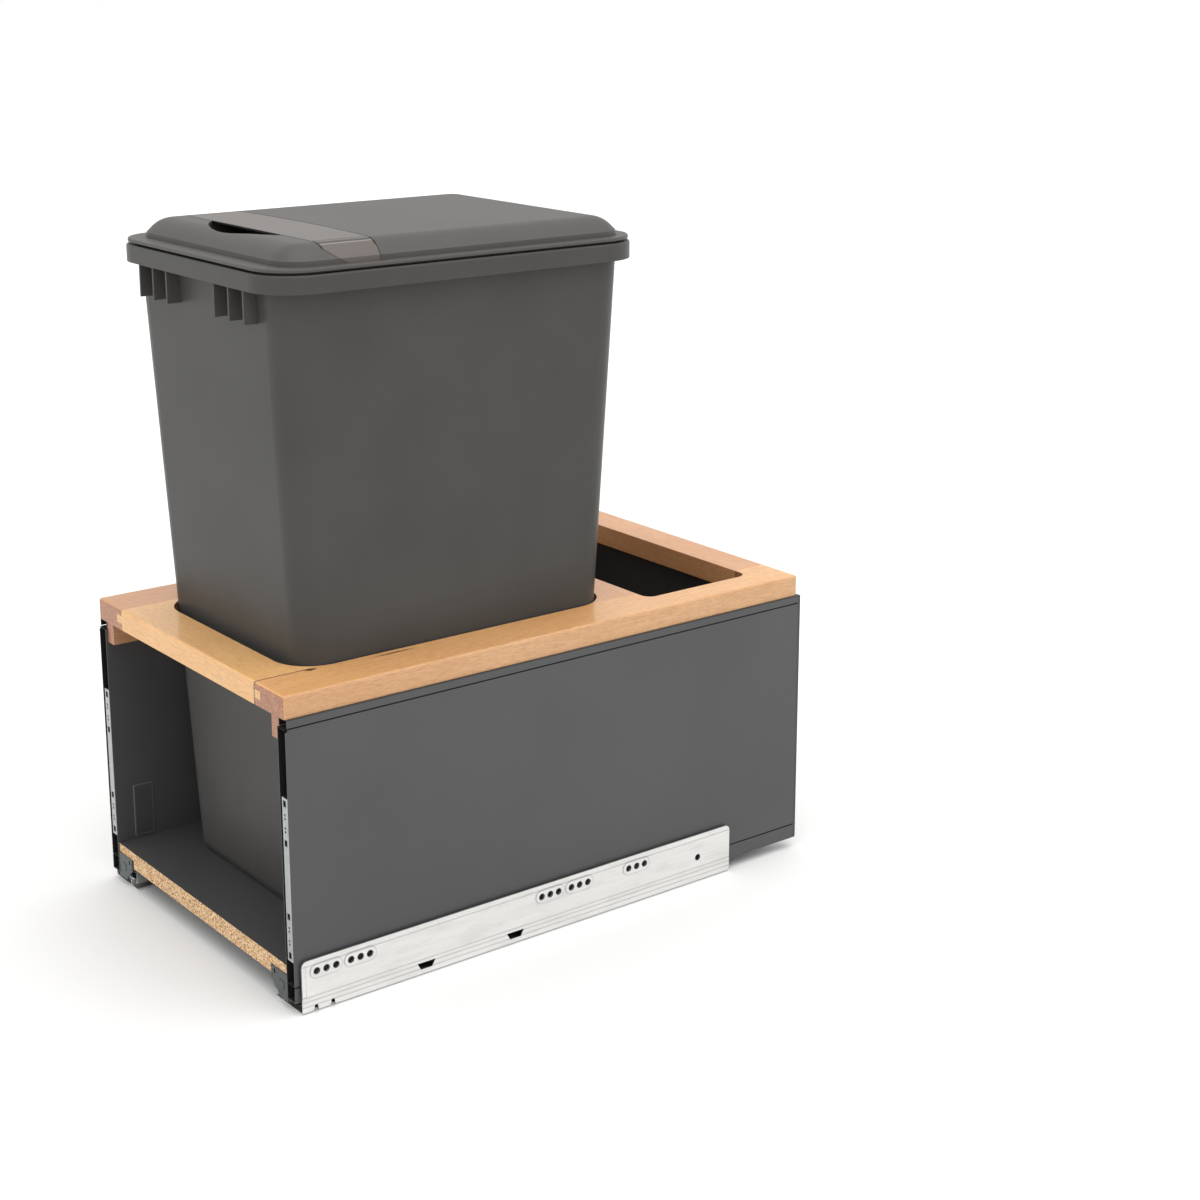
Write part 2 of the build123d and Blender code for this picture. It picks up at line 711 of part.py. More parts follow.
with BuildPart() as rail:
    with BuildSketch(Plane.XY.offset(side_top)):
        plan(seam_half, wood_outer, 0, frame_rear)
    extrude(amount=wood)
    extrude(openings.sketch, amount=wood, mode=Mode.SUBTRACT)
    # grooves for the tongues of the three cross boards
    with BuildSketch(Plane.XY.offset(tongue_low)):
        for start, end, tongue_start, tongue_end in cross_boards.values():
            plan(seam_half, seam_half + joint_tongue, tongue_start, tongue_end)
    extrude(amount=joint_thickness, mode=Mode.SUBTRACT)
    outer_edge = rail.edges().filter_by(Axis.Y).group_by(Axis.X)[-1].sort_by(Axis.Z)[-1]
    corners = rail.edges().filter_by(Axis.Z).group_by(Axis.X)[-1]
    end_edges = rail.edges().filter_by(Axis.X).group_by(Axis.Z)[-1].sort_by(Axis.Y)
    fillet([outer_edge, end_edges[0], end_edges[-1]] + corners, edge_round)
    # blind holes for the screws that come up through the cleat
    with BuildSketch(Plane.XY.offset(side_top)):
        with Locations(*cleat_screw_places):
            Circle(screw_radius + screw_clearance)
    extrude(amount=cleat_screw_length - cleat_height + screw_clearance, mode=Mode.SUBTRACT)
save_pair(rail, "frame_rail")

with BuildPart() as cleat:
    with BuildSketch(Plane.XY.offset(side_top - cleat_height)):
        plan(cleat_inner, side_inner, cleat_setback, side_length - end_cap)
    extrude(amount=cleat_height)
    with BuildSketch(Plane.XY.offset(side_top)):
        with Locations(*cleat_screw_places):
            Circle(screw_radius + screw_clearance)
    extrude(amount=-cleat_height, mode=Mode.SUBTRACT)
save_pair(cleat, "hanging_cleat")

with BuildPart() as cleat_screws:
    with BuildSketch(Plane.XY.offset(side_top - cleat_height)):
        with Locations(*cleat_screw_places):
            Circle(screw_head)
    extrude(amount=-head_height)
    with BuildSketch(Plane.XY.offset(side_top - cleat_height)):
        with Locations(*cleat_screw_places):
            Circle(screw_radius)
    extrude(amount=cleat_screw_length)
    mirror(about=Plane.YZ)
save(cleat_screws, "cleat_screws")

# ============================================================================= bin
def make_body(inset):
    """the bin's tapered body with its rounded foot, smaller all round and shorter below by inset"""
    levels = (
        (0, bin_foot_inset),
        (0.25 * bin_foot_height, 0.36 * bin_foot_inset),
        (bin_foot_height, 0),
        (bin_height - inset, 0),
    )
    with BuildPart() as body:
        for level, foot in levels:
            share = (level + inset) / bin_height
            width = bin_bottom_width + share * (bin_top_width - bin_bottom_width)
            depth = bin_bottom_depth + share * (bin_top_depth - bin_bottom_depth)
            corner = bin_bottom_corner + share * (bin_top_corner - bin_bottom_corner)
            trim = inset + foot
            with BuildSketch(Plane.XY.offset(board_top + inset + level)):
                with Locations((0, bin_y - (1 - share) * bin_bottom_forward)):
                    RectangleRounded(width - 2 * trim, depth - 2 * trim, corner - trim)
        loft(ruled=True)
    return body.part


bin_solid = make_body(0)
bin_hollow = make_body(bin_wall)
fin_bottom = rim_bottom - fin_drop
fin_reach = rim_out - fin_inset + fin_root
with BuildPart() as bin_body:
    add(bin_solid)
    # rim: a flat collar with a skirt hanging from its outer edge
    with BuildSketch(Plane.XY.offset(rim_bottom)):
        with Locations((0, bin_y)):
            RectangleRounded(rim_width, rim_depth, rim_corner)
    extrude(amount=rim_height)
    chamfer(bin_body.faces().sort_by(Axis.Z)[-1].outer_wire().edges(), rim_round)
    with BuildSketch(Plane.XY.offset(rim_bottom)):
        with Locations((0, bin_y)):
            RectangleRounded(rim_width - 2 * rim_sheet, rim_depth - 2 * rim_sheet, rim_corner - rim_sheet)
            RectangleRounded(bin_top_width, bin_top_depth, bin_top_corner, mode=Mode.SUBTRACT)
    extrude(amount=rim_height - rim_sheet, mode=Mode.SUBTRACT)
    # two groups of fins below the rim on the short front side
    fin_y = bin_y - rim_depth / 2 + fin_inset
    with BuildSketch(Plane.XY.offset(fin_bottom)):
        for sign in (-1, 1):
            for k in range(fin_count):
                x = sign * fin_centre + (k - (fin_count - 1) / 2) * fin_pitch
                with Locations((x, fin_y + fin_reach / 2)):
                    Rectangle(fin_thickness, fin_reach)
    extrude(amount=rim_top - rim_sheet - fin_bottom)
    add(bin_hollow, mode=Mode.SUBTRACT)
save(bin_body, "bin")


# ============================================================================= lid
def make_dome(inset, wall):
    """solid dome of the lid, smaller by inset round its foot and by wall on its slope and crown"""
    width = flange_width - 2 * (lid_ledge + inset)
    depth = flange_depth - lid_front_ledge - lid_ledge - 2 * inset
    with BuildPart() as dome:
        with BuildSketch(Plane.XY.offset(flange_bottom)):
            with Locations((0, bin_y + (lid_front_ledge - lid_ledge) / 2)):
                RectangleRounded(width, depth, flange_corner - lid_ledge - inset)
        slope_foot = flange_top + lid_foot + inset - wall * 2**0.5
        extrude(amount=slope_foot - flange_bottom, taper=lid_draft)
        foot_face = dome.faces().sort_by(Axis.Z)[-1]
        extrude(foot_face, amount=dome_top - wall - slope_foot, taper=lid_slope)
        fillet(dome.faces().sort_by(Axis.Z)[-1].edges(), lid_round - wall)
    return dome.part


def make_band(gap):
    """solid over the place of the handle band, wider by gap all round"""
    y0 = band_front - gap
    y1 = band_rear + gap
    top = dome_top + 1
    with BuildPart() as band:
        with BuildSketch(Plane.XY.offset(flange_top)):
            with BuildLine():
                Line((-dome_side, y0), (dome_side, y0))
                Line((dome_side, y0), (dome_side, y1))
                ThreePointArc((dome_side, y1), (0, y1 + band_bulge), (-dome_side, y1))
                Line((-dome_side, y1), (-dome_side, y0))
            make_face()
        extrude(amount=top - flange_top)
        # seen from the side, its front edge runs back in an S on the way down to the flange
        with BuildSketch(Plane.YZ.offset(-dome_side)):
            with BuildLine():
                foot = (y0 + band_foot_sweep, flange_top)
                shoulder = (y0, flange_top + 0.75 * lid_dome)
                Line((y0 - 1, flange_top), foot)
                ThreePointArc(foot, (y0 + band_foot_sweep / 3, flange_top + 0.45 * lid_dome), shoulder)
                Line(shoulder, (y0 - 1, shoulder[1]))
                Line((y0 - 1, shoulder[1]), (y0 - 1, flange_top))
            make_face()
        extrude(amount=2 * dome_side, mode=Mode.SUBTRACT)
    return band.part


outer_dome = make_dome(0, 0)
under_band = make_dome(band_thickness, band_thickness)
hollow = make_dome(lid_root, lid_wall)

with BuildPart() as handle_band:
    add(make_band(0))
    add(outer_dome, mode=Mode.INTERSECT)
    add(under_band, mode=Mode.SUBTRACT)
    # crease where the top of the band turns down into its sides
    with BuildSketch(Plane.XY.offset(dome_top - crease_depth)):
        for sign in (-1, 1):
            with Locations((sign * (dome_side - band_crease), band_front + band_width / 2)):
                Rectangle(crease_width, 2 * band_width)
    extrude(amount=crease_depth, mode=Mode.SUBTRACT)
save(handle_band, "lid_handle")

with BuildPart() as band_seat:
    add(make_band(band_gap))
    add(under_band, mode=Mode.SUBTRACT)

# tub under the dome's skin that holds the finger scoop
scoop_floor = dome_top - scoop_depth
with BuildPart() as scoop_tub:
    with BuildSketch(Plane.XY.offset(scoop_floor - lid_wall)):
        with Locations((0, (scoop_front + scoop_rear) / 2)):
            Rectangle(2 * (scoop_half + lid_wall), scoop_rear - scoop_front + 2 * lid_wall)
    extrude(amount=scoop_depth + lid_wall)
    add(outer_dome, mode=Mode.INTERSECT)

with BuildPart() as lid_shell:
    with BuildSketch(Plane.XY.offset(flange_bottom)):
        with Locations((0, bin_y)):
            RectangleRounded(flange_width, flange_depth, flange_corner)
    extrude(amount=lid_flange)
    chamfer(lid_shell.faces().sort_by(Axis.Z)[-1].outer_wire().edges(), lid_flange / 4)
    add(outer_dome)
    add(hollow, mode=Mode.SUBTRACT)
    add(scoop_tub.part)
    # rebate that takes the handle band
    add(band_seat.part, mode=Mode.SUBTRACT)
    # the scoop itself: an arc in front of the band, running back under it
    with BuildSketch(Plane.XY.offset(scoop_floor)):
        with BuildLine():
            ThreePointArc((-scoop_half, band_front), (0, scoop_front), (scoop_half, band_front))
            Line((scoop_half, band_front), (scoop_half, scoop_rear))
            Line((scoop_half, scoop_rear), (-scoop_half, scoop_rear))
            Line((-scoop_half, scoop_rear), (-scoop_half, band_front))
        make_face()
    extrude(amount=scoop_depth + 1, mode=Mode.SUBTRACT)
    # lip that drops into the bin's mouth, and the rib that the lid rests on
    mouth_width = bin_top_width - 2 * bin_wall
    mouth_depth = bin_top_depth - 2 * bin_wall
    mouth_corner = bin_top_corner - bin_wall
    with BuildSketch(Plane.XY.offset(flange_bottom)):
        with Locations((0, bin_y)):
            for trim, how in ((lip_clearance, Mode.ADD), (lip_clearance + lip_wall, Mode.SUBTRACT)):
                RectangleRounded(
                    mouth_width - 2 * trim, mouth_depth - 2 * trim, mouth_corner - trim, mode=how
                )
    extrude(amount=-lip_depth - lid_reveal)
    with BuildSketch(Plane.XY.offset(rim_top)):
        with Locations((0, bin_y)):
            for trim, how in ((seat_inset, Mode.ADD), (seat_inset + seat_rib, Mode.SUBTRACT)):
                RectangleRounded(
                    flange_width - 2 * trim, flange_depth - 2 * trim, flange_corner - trim, mode=how
                )
    extrude(amount=lid_reveal)
save(lid_shell, "lid_shell")
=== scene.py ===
import math

import bpy
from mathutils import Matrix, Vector


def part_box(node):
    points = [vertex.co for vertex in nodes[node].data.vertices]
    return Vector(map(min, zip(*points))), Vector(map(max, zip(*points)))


# Looks of a pull-out waste unit: lacquered maple, powder-coated steel, zinc plated runners,
# grey moulded plastic and grey faced chipboard. The pieces keep the shapes and places that
# CAD gave them. Lengths are in metres in the part's frame: +X to the right, +Y towards the
# back, +Z up. Noise scales are per metre.

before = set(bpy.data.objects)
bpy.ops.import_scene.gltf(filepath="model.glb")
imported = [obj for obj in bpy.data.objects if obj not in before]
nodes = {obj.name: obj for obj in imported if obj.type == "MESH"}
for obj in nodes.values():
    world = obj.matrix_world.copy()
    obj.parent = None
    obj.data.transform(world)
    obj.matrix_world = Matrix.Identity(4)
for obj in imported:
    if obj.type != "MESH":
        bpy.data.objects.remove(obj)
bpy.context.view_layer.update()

PAIR = ("_left", "_right")
X, Y, Z = 0, 1, 2
LOW, HIGH = 0, 1  # the two corners of a box


# ------------------------------------------------------------------ places on the object
SKIN = 0.0009  # sheet of the drawer sides
SKIN_SHARE = SKIN / 4  # so much of a sheet's thickness counts as part of the hollow
INNER_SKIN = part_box("side_inner_skin_right")
OUTER_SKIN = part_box("side_outer_skin_right")
BOTTOM_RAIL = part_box("side_bottom_rail_right")
TOP_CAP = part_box("side_top_cap_right")
# the hollow between the skins, open at the front, whose faces are painted black as shade
HOLLOW_ACROSS = (
    INNER_SKIN[LOW][X] + SKIN - SKIN_SHARE,
    OUTER_SKIN[HIGH][X] - SKIN + SKIN_SHARE,
)
HOLLOW_HEIGHT = (
    BOTTOM_RAIL[LOW][Z] + SKIN - SKIN_SHARE,
    TOP_CAP[HIGH][Z] - SKIN + SKIN_SHARE,
)
JOINT = 0.0008  # open joint between two sheets
# painted shade in the open joints between the sheets and under the wood: height of the line, reach
# to either side, strength of its tone
JOINT_SHADE_LINES = (
    (OUTER_SKIN[HIGH][Z] + JOINT / 2, 0.001, 0.85),
    (OUTER_SKIN[LOW][Z] - JOINT / 2, 0.001, 0.85),
    (TOP_CAP[HIGH][Z], 0.0014, 0.7),
)
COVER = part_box("access_cover_right")
COVER_HIGHLIGHT_REACH = 0.0016  # reach of the painted highlight round the cover's edge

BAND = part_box("lid_handle")
BAND_BULGE = 0.008  # how far the band's rear edge curves back in the middle
BAND_SEAM_REACH = 0.0013  # reach of the painted shade lines at the seams round the band
CROWN_DROP = 0.0045  # they are drawn so far down from the lid's top
CREASE = 0.1109  # crease of the band, from the middle
CREASE_REACH = 0.0025
CREASE_DROP = 0.012  # it is drawn so far down from the lid's top
LIP = CREASE + 0.003  # painted highlight on the lip below the crease
LIP_REACH = 0.001

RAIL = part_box("frame_rail_right")
SEAM = RAIL[LOW][X]  # joint between rails and cross boards, from the middle
GLUE_LINE = 0.0004
GLUE_STRENGTH = 0.25
# the right front joint is open and dark as far back as a knot
KNOT = Vector((0.1213, -0.2236, RAIL[HIGH][Z]))
OPEN_LINE = GLUE_LINE * 2.2
OPEN_STRENGTH = 0.95
OPEN_END = 0.004  # length over which it closes
OPEN_SIDE = 0.01  # so far right of the middle it counts as the right joint
STREAK = Vector((0.1262, -0.147, RAIL[HIGH][Z]))  # thin streak in the right rail
# dark marks in the wood: middle, half sizes, raggedness of the outline, strength of the tone
MARKS = (
    (KNOT, (0.0032, 0.0066, 0.004), Vector((0.004, 0.004, 0.0)), 0.92),
    (STREAK, (0.0014, 0.022, 0.004), Vector((0.0016, 0.0, 0.0)), 0.95),
)

# steps rolled along the web of the cabinet profile, by height, drawn as bumps and as painted shade
ROLLED_LINES = (0.0064, 0.0107, 0.0147, 0.0418)
ROLLED_REACH = 0.0009
# pressed capsule round each group of three screw holes in the web
PAD_COLUMNS = (0, 1, 7, 8, 10)
PAD_PITCH = 0.032
PAD_FIRST = -0.2466  # y of the first group's middle
PAD_HEIGHT = 0.036
PAD_HALF = 0.009  # from a capsule's middle to the centre of its round end
PAD_RADIUS = 0.0062
# reach of the painted shade round each capsule
PAD_SHADE_REACH = 0.0008


# ------------------------------------------------------------------ node building
WHITE = (1.0, 1.0, 1.0, 1.0)
UNSTRETCHED = (1.0, 1.0, 1.0)


def srgb(red, green, blue):
    """linear colour with alpha from display values of 0 to 255"""
    channels = [value / 255 for value in (red, green, blue)]
    return [c / 12.92 if c <= 0.04045 else ((c + 0.055) / 1.055) ** 2.4 for c in channels] + [1.0]


def tint(colour, factor):
    """a colour made lighter or darker"""
    return [channel * factor for channel in colour[:3]] + [1.0]


class Look:
    """a node material being built round one principled shader"""

    def __init__(self, name, **constants):
        self.material = bpy.data.materials.new(name)
        self.material.use_nodes = True
        self.tree = self.material.node_tree
        self.shader = self.tree.nodes["Principled BSDF"]
        for key, value in constants.items():
            self.shader.inputs[key.replace("_", " ")].default_value = value

    def node(self, kind, inputs=None, **settings):
        """add a node: settings are its own choices, inputs are constants or links by socket"""
        made = self.tree.nodes.new("ShaderNode" + kind)
        for key, value in settings.items():
            setattr(made, key, value)
        for key, value in (inputs or {}).items():
            if isinstance(value, bpy.types.NodeSocket):
                self.tree.links.new(value, made.inputs[key])
            else:
                made.inputs[key].default_value = value
        return made

    def link(self, source, socket):
        """feed one of the shader's sockets"""
        self.tree.links.new(source, self.shader.inputs[socket])

    # places
    def coordinates(self):
        """object coordinates"""
        return self.node("TexCoord").outputs["Object"]

    def components(self, vector):
        """the x, y and z of a vector"""
        return self.node("SeparateXYZ", {0: vector}).outputs

    def position(self, axis):
        """the object coordinate along one axis"""
        return self.components(self.coordinates())[axis]

    def place(self, scale, shift=(0.0, 0.0, 0.0)):
        """object coordinates, stretched and shifted"""
        inputs = {"Vector": self.coordinates(), "Scale": scale, "Location": shift}
        return self.node("Mapping", inputs).outputs[0]

    def facing(self, axis, low=0.75, high=0.9):
        """1 on faces that look along the axis, either way, and 0 on the others"""
        normal = self.node("TexCoord").outputs["Normal"]
        return self.ramp(self.math("ABSOLUTE", self.components(normal)[axis]), low, high)

    # arithmetic
    def math(self, operation, first, second=0.0):
        """one arithmetic step"""
        return self.node("Math", {0: first, 1: second}, operation=operation).outputs[0]

    def product(self, first, *others):
        """all the values multiplied"""
        for value in others:
            first = self.math("MULTIPLY", first, value)
        return first

    def vector(self, operation, first, second):
        """one step of vector arithmetic"""
        return self.node("VectorMath", {0: first, 1: second}, operation=operation).outputs[0]

    def length(self, vector):
        """the length of a vector"""
        return self.node("VectorMath", {0: vector}, operation="LENGTH").outputs["Value"]

    def ramp(self, value, low, high, start=0.0, end=1.0):
        """map low..high to start..end, held at both ends"""
        inputs = {"Value": value, "From Min": low, "From Max": high, "To Min": start, "To Max": end}
        return self.node("MapRange", inputs).outputs[0]

    def distance(self, value, level):
        """how far a value is from a level"""
        return self.math("ABSOLUTE", self.math("SUBTRACT", value, level))

    def line(self, value, level, reach, core=0.4):
        """1 within a core share of the reach round a level, fading to 0 at the reach"""
        return self.ramp(self.distance(value, level), reach * core, reach, 1.0, 0.0)

    def between(self, value, low, high):
        """1 where a value is between two levels, and 0 elsewhere"""
        above = self.math("GREATER_THAN", value, low)
        return self.product(above, self.math("LESS_THAN", value, high))

    # patterns, colours and relief
    def noise(self, vector, scale, detail=3.0, roughness=0.5, distortion=0.0):
        """smooth noise from 0 to 1"""
        inputs = {"Vector": vector, "Scale": scale, "Detail": detail, "Roughness": roughness}
        inputs["Distortion"] = distortion
        return self.node("TexNoise", inputs).outputs[0]

    def mix(self, factor, first, second, blend="MIX"):
        """mix two colours"""
        inputs = {0: factor, 6: first, 7: second}
        return self.node("Mix", inputs, data_type="RGBA", blend_type=blend).outputs[2]

    def bump(self, height, distance, strength):
        """surface relief of so many metres"""
        inputs = {"Height": height, "Distance": distance, "Strength": strength}
        self.link(self.node("Bump", inputs).outputs[0], "Normal")


# ------------------------------------------------------------------ wood
GRAIN = {X: (1.0, 14.0, 14.0), Y: (14.0, 1.0, 14.0)}  # stretch of the figure along the grain
RINGS = 58.0  # growth rings over the range of the figure's noise
END_GRAIN = srgb(190, 134, 94), srgb(132, 80, 50)
SIDE_FACE_SHADE = (0.79, 0.82, 0.94, 1.0)  # painted shade: faces that look sideways are drawn so much darker and greyer
FRAYED = 300.0  # scale of the noise that frays the outlines of knot and streak
MINERAL_BROWN = srgb(126, 72, 38)
JOINT_BROWN = srgb(58, 28, 16)
MARK_BROWN = srgb(66, 26, 16)


def mark_distance(look, middle, size, warp):
    """distance from a ragged ellipse's middle, in its own half sizes"""
    coords = look.coordinates()
    ragged = look.node("TexNoise", {"Vector": coords, "Scale": FRAYED}).outputs[1]
    off = look.vector("SUBTRACT", coords, middle + warp / 2)
    off = look.vector("ADD", off, look.vector("MULTIPLY", ragged, warp))
    return look.length(look.vector("DIVIDE", off, size))


def joint_lines(look):
    """strength of the glue lines, and of the right front joint, which is open up to the knot"""
    x = look.position(X)
    off_seam = look.distance(look.math("ABSOLUTE", x), SEAM)
    glue = look.ramp(off_seam, 0.0, GLUE_LINE, GLUE_STRENGTH, 0.0)
    behind_knot = look.math("SUBTRACT", look.position(Y), KNOT[Y])
    in_front = look.ramp(behind_knot, 0.0, OPEN_END, OPEN_STRENGTH, 0.0)
    on_right = look.ramp(x, 0.0, OPEN_SIDE)
    wide = look.ramp(off_seam, GLUE_LINE, OPEN_LINE, 1.0, 0.0)
    return look.math("MAXIMUM", glue, look.product(in_front, on_right, wide))


def maple(name, grain, shift, pale, deep):
    """lacquered maple: soft figure, fine fibres, short flecks and darker end grain"""
    look = Look(name, Roughness=0.5, Coat_Weight=0.4, Coat_Roughness=0.08, Coat_IOR=1.5)
    along = look.place(GRAIN[grain], shift)
    figure = look.noise(along, 3.4, detail=3.0, roughness=0.55, distortion=0.7)
    rings = look.ramp(look.math("SINE", look.product(figure, RINGS)), -1.0, 1.0)
    cloud = look.noise(look.place((3.0, 3.0, 3.0), shift), 3.0, detail=2.0)
    fibres = look.noise(along, 120.0, detail=4.0, roughness=0.75)
    flecks = look.noise(along, 96.0, detail=2.0, roughness=0.6)
    streaks = look.noise(along, 11.0, detail=2.0, roughness=0.6)
    pores = look.noise(look.place(UNSTRETCHED, shift), 1300.0, detail=2.0, roughness=0.7)

    light, dark = tint(deep, 1.3), tint(deep, 0.62)
    tone = look.mix(look.product(rings, 0.38), pale, deep)
    # each pattern, two of its values, the layer's strength at both, and the layer's colour
    layers = (
        (cloud, 0.35, 0.7, 0.0, 0.5, deep),
        (fibres, 0.47, 0.68, 0.0, 0.55, dark),
        (fibres, 0.3, 0.47, 0.6, 0.0, light),
        (flecks, 0.56, 0.68, 0.0, 0.45, dark),
        (streaks, 0.71, 0.77, 0.0, 0.55, MINERAL_BROWN),
    )
    for pattern, low, high, at_low, at_high, colour in layers:
        tone = look.mix(look.ramp(pattern, low, high, at_low, at_high), tone, colour)
    # painted shade on faces that look sideways along x
    painted_light = look.mix(look.facing(X, 0.2, 0.8), WHITE, SIDE_FACE_SHADE)
    tone = look.mix(1.0, tone, painted_light, blend="MULTIPLY")
    end = look.mix(look.ramp(pores, 0.38, 0.66), *END_GRAIN)
    end = look.mix(look.product(rings, 0.45), end, END_GRAIN[1])
    tone = look.mix(look.facing(grain), tone, end)

    tone = look.mix(joint_lines(look), tone, JOINT_BROWN)
    for middle, size, warp, strength in MARKS:
        mark = look.ramp(mark_distance(look, middle, size, warp), 0.5, 1.1, strength, 0.0)
        tone = look.mix(mark, tone, MARK_BROWN)
    look.link(tone, "Base Color")
    look.bump(fibres, 0.00004, 0.5)
    return look


# ------------------------------------------------------------------ coated steel
JOINT_SHADE_BLACK = srgb(20, 20, 20)
HOLLOW_SHADE_BLACK = srgb(12, 12, 12)


def powder_coat(name, colour):
    """baked powder coat: fine orange peel, painted shade as dark lines in the joints and under the
    wood, and painted shade as black in the hollow of a side
    """
    look = Look(name, Specular_IOR_Level=0.4)
    peel = look.noise(look.coordinates(), 1400.0, detail=2.0, roughness=0.6)
    cloud = look.noise(look.coordinates(), 7.0, detail=3.0)
    across = look.math("ABSOLUTE", look.position(X))
    height = look.position(Z)
    tone = look.mix(look.ramp(cloud, 0.35, 0.65), tint(colour, 1.06), tint(colour, 0.94))
    for level, reach, strength in JOINT_SHADE_LINES:
        # painted shade: a dark line in each open joint and under the wood
        line = look.product(look.line(height, level, reach), strength)
        tone = look.mix(line, tone, JOINT_SHADE_BLACK)
    # painted shade: the faces inside the hollow are drawn near black
    within = look.between(across, *HOLLOW_ACROSS)
    hollow_shade = look.product(within, look.between(height, *HOLLOW_HEIGHT))
    look.link(look.mix(hollow_shade, tone, HOLLOW_SHADE_BLACK), "Base Color")
    satin = look.ramp(look.noise(look.coordinates(), 260.0), 0.3, 0.7, 0.4, 0.48)
    look.link(look.math("MAXIMUM", satin, look.product(hollow_shade, 0.95)), "Roughness")
    look.bump(peel, 0.00003, 0.6)
    return look


# ------------------------------------------------------------------ plastic and small parts
RIM_HIGHLIGHT_GREY = srgb(128, 128, 128)
BAND_SEAM_SHADE_BLACK = srgb(18, 15, 14)
LIP_HIGHLIGHT_GREY = srgb(172, 168, 164)
CREASE_SHADE_BLACK = srgb(34, 30, 28)


def cover_rim_highlight(look, tone):
    """lay a painted highlight round the access cover's edge over a tone"""
    rim_highlight = 0.0
    for corner in COVER:
        for axis in (Y, Z):
            painted_light = look.line(look.position(axis), corner[axis], COVER_HIGHLIGHT_REACH)
            rim_highlight = look.math("MAXIMUM", painted_light, rim_highlight)
    # painted highlight: the cover's edges are drawn paler
    return look.mix(look.product(rim_highlight, 0.35), tone, RIM_HIGHLIGHT_GREY)


def band_seam_shade(look, tone):
    """lay painted shade lines at the seams round the lid's handle band over a tone"""
    x, y, z = look.components(look.coordinates())
    front_line = look.line(y, BAND[LOW][Y], BAND_SEAM_REACH)
    # rear edge: an arc through the band's rear corners and its rearmost point
    radius = (BAND[HIGH][X] ** 2 + BAND_BULGE**2) / (2 * BAND_BULGE)
    from_centre = look.math("SUBTRACT", y, BAND[HIGH][Y] - radius)
    flat = look.node("CombineXYZ", {0: x, 1: from_centre, 2: 0.0}).outputs[0]
    rear_line = look.line(look.length(flat), radius, BAND_SEAM_REACH)
    on_crown = look.math("GREATER_THAN", z, BAND[HIGH][Z] - CROWN_DROP)
    lines = look.product(look.math("MAXIMUM", front_line, rear_line), on_crown)
    # painted shade in the seams round the band
    return look.mix(look.product(lines, 0.92), tone, BAND_SEAM_SHADE_BLACK)


def band_crease(look, tone):
    """lay painted shade in the crease near both ends of the band, a painted highlight on its lip
    and the painted shade at the seams over a tone
    """
    x, y, z = look.components(look.coordinates())
    across = look.math("ABSOLUTE", x)
    on_slope = look.math("GREATER_THAN", z, BAND[HIGH][Z] - CREASE_DROP)
    on_band = look.product(look.between(y, BAND[LOW][Y], BAND[HIGH][Y]), on_slope)
    lip_highlight = look.product(look.line(across, LIP, LIP_REACH), on_band)
    crease_shade = look.product(look.line(across, CREASE, CREASE_REACH), on_band)
    # painted highlight on the lip below the crease
    tone = look.mix(look.product(lip_highlight, 0.4), tone, LIP_HIGHLIGHT_GREY)
    # painted shade in the crease
    tone = look.mix(look.product(crease_shade, 0.75), tone, CREASE_SHADE_BLACK)
    return band_seam_shade(look, tone)


def moulded(name, colour, roughness, gloss=0.3, depth=0.00005, lines=None):
    """fine spark-eroded grain, with what the function given as lines lays over the tone"""
    look = Look(name, Specular_IOR_Level=gloss)
    grain = look.noise(look.coordinates(), 1900.0, detail=3.0, roughness=0.7)
    cloud = look.noise(look.coordinates(), 9.0, detail=4.0, roughness=0.55)
    tone = look.mix(look.ramp(cloud, 0.35, 0.65), tint(colour, 1.07), tint(colour, 0.94))
    if lines:
        tone = lines(look, tone)
    look.link(tone, "Base Color")
    look.link(look.ramp(grain, 0.3, 0.7, roughness - 0.04, roughness + 0.05), "Roughness")
    look.bump(grain, depth, 0.7)
    return look


# ------------------------------------------------------------------ zinc plated sheet
STRETCH = {X: (2.0, 120.0, 120.0), Y: (120.0, 2.0, 120.0), Z: (120.0, 120.0, 2.0)}
SMUDGE = (14, 5, 22)


def pad_outline_shade(look):
    """1 along the outline of each capsule in the web, where painted shade is laid"""
    y = look.position(Y)
    rise = look.math("SUBTRACT", look.position(Z), PAD_HEIGHT)
    edges = 0.0
    for column in PAD_COLUMNS:
        off = look.distance(y, PAD_FIRST + column * PAD_PITCH)
        off = look.math("MAXIMUM", look.math("SUBTRACT", off, PAD_HALF), 0.0)
        squares = look.math("ADD", look.math("POWER", off, 2.0), look.math("POWER", rise, 2.0))
        painted_light = look.line(look.math("SQRT", squares), PAD_RADIUS, PAD_SHADE_REACH)
        edges = look.math("MAXIMUM", painted_light, edges)
    return edges


